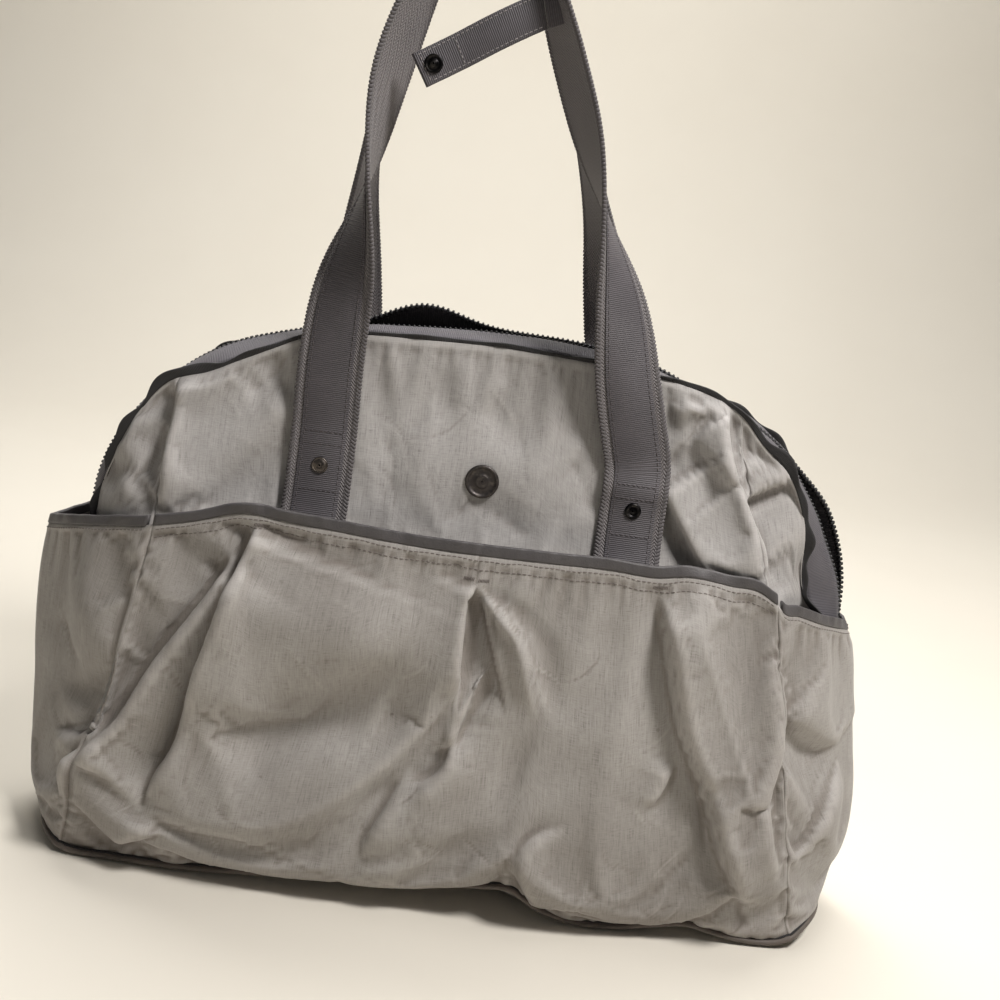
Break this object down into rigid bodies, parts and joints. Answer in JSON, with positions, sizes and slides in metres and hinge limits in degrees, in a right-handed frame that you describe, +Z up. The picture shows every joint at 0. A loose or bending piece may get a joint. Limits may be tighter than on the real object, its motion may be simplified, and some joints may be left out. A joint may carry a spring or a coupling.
{
  "type": "duffel bag",
  "caption": "Soft dome-top duffel bag with a long top zip, slip pockets on every side, a flat base and a pair of webbing shoulder straps with a snap wrap.",
  "frame": {"origin": "middle of the flat base, on the surface the bag stands on", "axes": "+X along the bag, -Y out of its front, +Z up"},
  "size_m": [0.562, 0.1834, 0.6392],
  "materials": {
    "shell": "matt heathered plain weave with a light sheen",
    "binding": "smooth flat binding",
    "webbing": "twill webbing",
    "tape": "ribbed grosgrain",
    "piping": "matt black binding",
    "lining": "matt black lining",
    "board": "matt stiffener",
    "zip": "moulded plastic",
    "metal": "gunmetal plating"
  },
  "bodies": {
    "bag": {"base_panel": "shell", "base_board": "board", "base_piping": "piping", "front_panel": "shell", "back_panel": "shell", "left_end_panel": "shell", "right_end_panel": "shell", "front_lining": "lining", "back_lining": "lining", "left_end_lining": "lining", "right_end_lining": "lining", "front_pocket": "shell", "back_pocket": "shell", "left_pocket": "shell", "right_pocket": "shell", "front_pocket_binding": "binding", "back_pocket_binding": "binding", "left_pocket_binding": "binding", "right_pocket_binding": "binding", "zip_tape_front": "tape", "zip_tape_back": "tape", "zip_teeth_front": "zip", "zip_teeth_back": "zip", "seam_binding_front": "piping", "seam_binding_back": "piping", "zip_end_tab_left": "tape", "zip_end_tab_right": "tape", "front_strap_left_end": "webbing", "front_strap_left_end_ribbon": "tape", "front_strap_right_end": "webbing", "front_strap_right_end_ribbon": "tape", "back_strap_left_end": "webbing", "back_strap_left_end_ribbon": "tape", "back_strap_right_end": "webbing", "back_strap_right_end_ribbon": "tape", "front_left_snap": "metal", "front_right_snap": "metal", "back_left_snap": "metal", "back_right_snap": "metal", "badge": "metal"},
    "front_strap": {"front_strap": "webbing", "front_strap_ribbon": "tape"},
    "back_strap": {"back_strap": "webbing", "back_strap_ribbon": "tape"},
    "handle_wrap": {"handle_wrap": "tape", "handle_wrap_snap": "metal", "handle_wrap_socket": "metal"},
    "zip_slider_left": {"zip_slider_left": "metal"},
    "zip_slider_right": {"zip_slider_right": "metal"},
    "zip_pull_left": {"zip_pull_left": "metal"},
    "zip_pull_right": {"zip_pull_right": "metal"}
  },
  "joints": [
    {"name": "front_strap_swing", "type": "hinge", "parent": "bag", "child": "front_strap", "pos_m": [0, -0.044, 0.3005], "axis": [1, 0, 0], "range_deg": [0, 135]},
    {"name": "back_strap_swing", "type": "hinge", "parent": "bag", "child": "back_strap", "pos_m": [0, 0.044, 0.3005], "axis": [-1, 0, 0], "range_deg": [0, 135]},
    {"name": "handle_wrap_fold", "type": "hinge", "parent": "front_strap", "child": "handle_wrap", "pos_m": [0.005, -0.032, 0.5525], "axis": [-0.3894, 0, 0.9211], "range_deg": [-60, 80]},
    {"name": "zip_slider_left_run", "type": "hinge", "parent": "bag", "child": "zip_slider_left", "pos_m": [-0.11806, 0, 0.2155], "axis": [0, 1, 0], "range_deg": [0, 82]},
    {"name": "zip_slider_right_run", "type": "hinge", "parent": "bag", "child": "zip_slider_right", "pos_m": [0.11806, 0, 0.2155], "axis": [0, -1, 0], "range_deg": [0, 82]},
    {"name": "zip_pull_left_flip", "type": "hinge", "parent": "zip_slider_left", "child": "zip_pull_left", "pos_m": [-0.25284, 0, 0.20249], "axis": [0, 1, 0], "range_deg": [0, 30]},
    {"name": "zip_pull_right_flip", "type": "hinge", "parent": "zip_slider_right", "child": "zip_pull_right", "pos_m": [0.25284, 0, 0.20249], "axis": [0, -1, 0], "range_deg": [0, 30]}
  ]
}
